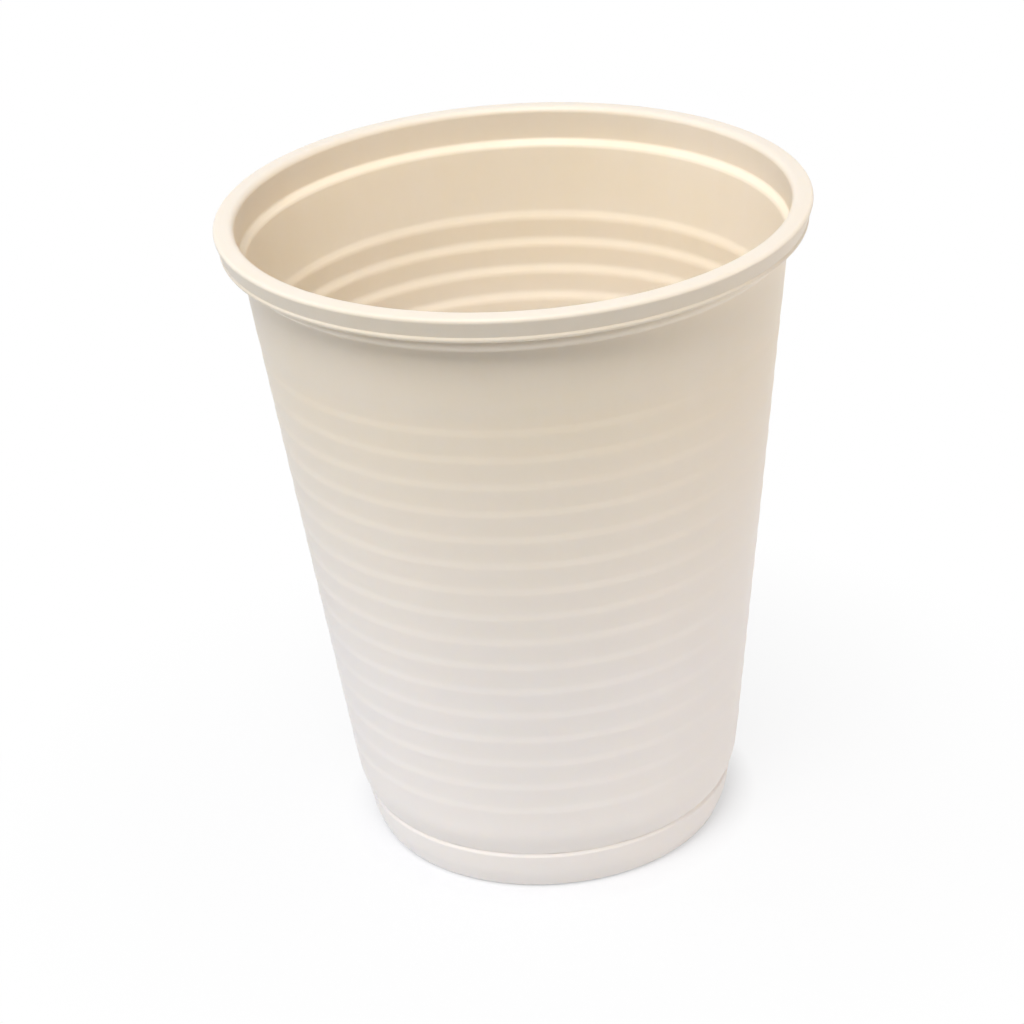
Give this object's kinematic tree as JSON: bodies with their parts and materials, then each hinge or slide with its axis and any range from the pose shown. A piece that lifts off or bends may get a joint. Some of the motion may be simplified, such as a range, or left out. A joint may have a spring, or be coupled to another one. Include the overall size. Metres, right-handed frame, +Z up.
{
  "type": "ribbed disposable drinking cup",
  "caption": "Tapered disposable drinking cup of thin ivory plastic, with a rolled rim, a stacking step, fine horizontal ribs and a flared heel around a recessed base.",
  "frame": {"origin": "centre of the foot, on the surface that the cup stands on", "axes": "+Z up along the cup's axis; the cup is the same all round"},
  "size_m": [0.0698, 0.0698, 0.081],
  "materials": {
    "cup_plastic": "thin ivory thermoformed plastic, semi-matt with soft highlights"
  },
  "bodies": {
    "root": {"cup": "cup_plastic"}
  },
  "joints": []
}
